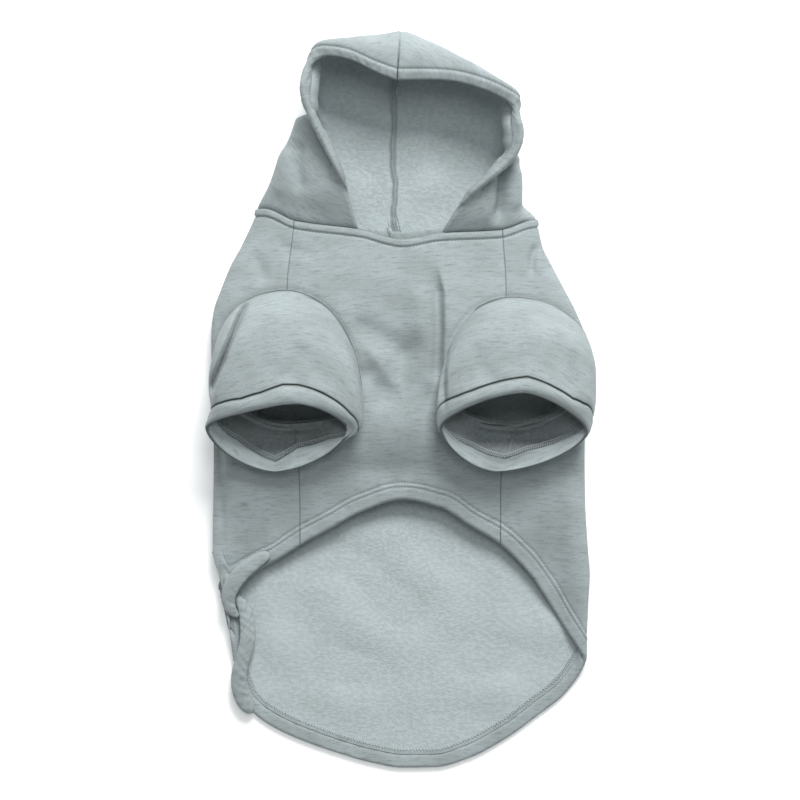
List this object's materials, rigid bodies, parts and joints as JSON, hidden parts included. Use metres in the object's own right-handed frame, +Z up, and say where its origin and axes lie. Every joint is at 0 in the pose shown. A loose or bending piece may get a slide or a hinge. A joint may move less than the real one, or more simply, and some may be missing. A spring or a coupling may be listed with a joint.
{
  "type": "dog hoodie",
  "caption": "Dog hoodie of heather grey fleece-backed jersey, laid flat belly side up, with a hood, short cuffed sleeves, arched belly hem and longer rounded back.",
  "frame": {"origin": "middle of the whole hoodie in plan, on the surface that it lies on", "axes": "+Z up from the surface, +Y from the tail to the hood, +X to the right as seen from above with the hood at the top"},
  "size_m": [0.2898, 0.5524, 0.0622],
  "materials": {
    "body_jersey": "matt knitted jersey, cool grey heather with short darker streaks",
    "hood_jersey": "matt knitted jersey, cool grey heather",
    "sleeve_jersey": "matt knitted jersey, cool grey heather",
    "cuff_jersey": "matt knitted jersey, folded double, cool grey heather",
    "brushed_fleece": "brushed fleece on the inner face, softly clouded",
    "sewing_thread": "spun polyester sewing thread, a shade darker than the cloth"
  },
  "bodies": {
    "root": {"back_panel": "body_jersey", "belly_panel": "body_jersey", "hood_left": "hood_jersey", "hood_right": "hood_jersey", "sleeve_left": "sleeve_jersey", "sleeve_right": "sleeve_jersey", "cuff_left": "cuff_jersey", "cuff_right": "cuff_jersey"}
  },
  "joints": []
}
